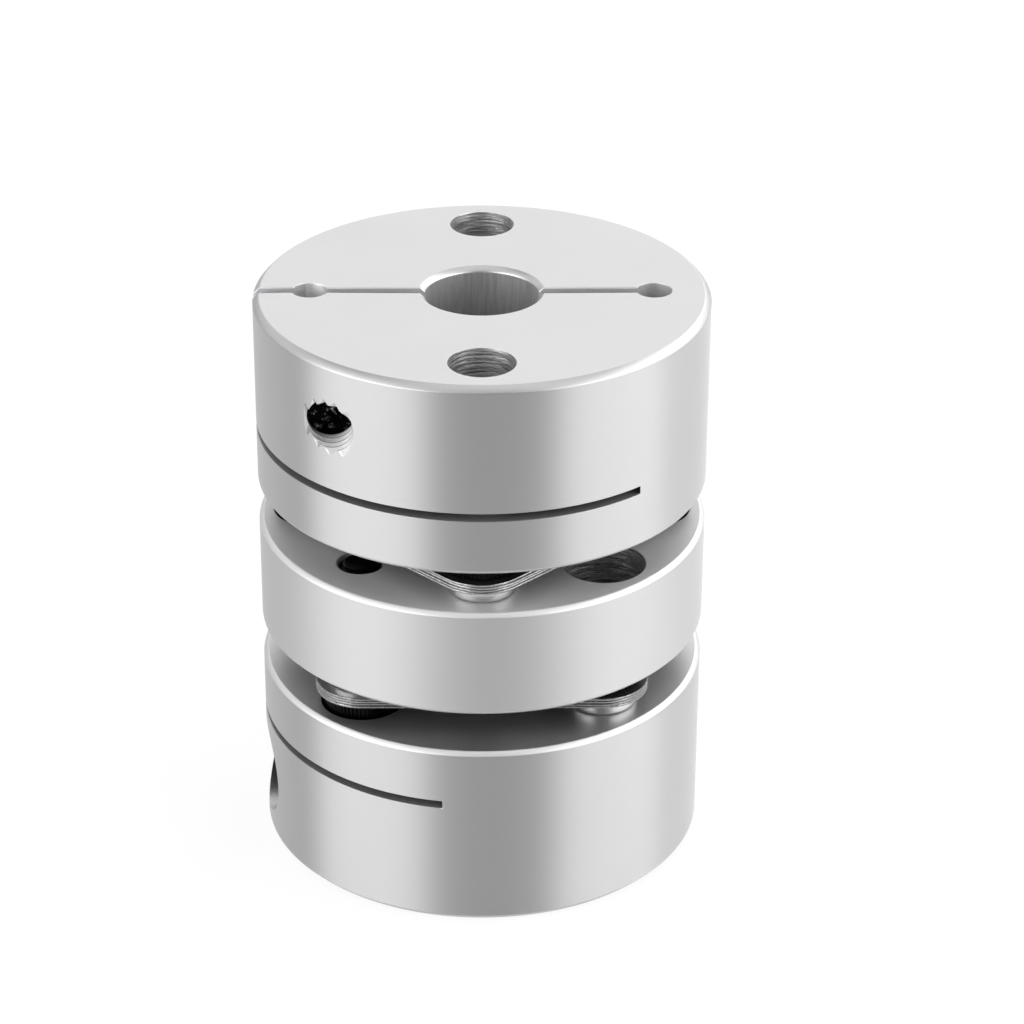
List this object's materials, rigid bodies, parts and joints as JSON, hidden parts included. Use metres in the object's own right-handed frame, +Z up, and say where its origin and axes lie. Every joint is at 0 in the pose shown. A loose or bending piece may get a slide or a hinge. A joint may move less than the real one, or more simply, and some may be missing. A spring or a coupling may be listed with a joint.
{
  "type": "disc coupling",
  "caption": "Double disc coupling: two slit clamp hubs with cross screws and a drilled spacer, joined by packs of thin spring leaves on collars, for two shafts in line.",
  "frame": {"origin": "middle of the lower hub's end face, on which the coupling stands", "axes": "+Z up along the shaft axis; the upper hub's slit opens towards -X and its clamp screw is turned from +Y"},
  "size_m": [0.032, 0.032, 0.042],
  "materials": {
    "aluminium": "satin, fine blasted",
    "spring_steel": "bright cold rolled",
    "collar_steel": "bright turned",
    "black_steel": "black oxide"
  },
  "bodies": {
    "root": {"upper_hub": "aluminium", "lower_hub": "aluminium", "spacer": "aluminium", "upper_leaf_1": "spring_steel", "upper_leaf_2": "spring_steel", "upper_leaf_3": "spring_steel", "upper_leaf_4": "spring_steel", "lower_leaf_1": "spring_steel", "lower_leaf_2": "spring_steel", "lower_leaf_3": "spring_steel", "lower_leaf_4": "spring_steel", "upper_collar_right": "collar_steel", "upper_collar_left": "collar_steel", "upper_collar_back": "collar_steel", "upper_collar_front": "collar_steel", "lower_collar_front_right": "collar_steel", "lower_collar_back_left": "collar_steel", "lower_collar_back_right": "collar_steel", "lower_collar_front_left": "collar_steel", "clamp_screws": "black_steel", "hub_screws": "black_steel", "spacer_screws": "black_steel"}
  },
  "joints": []
}
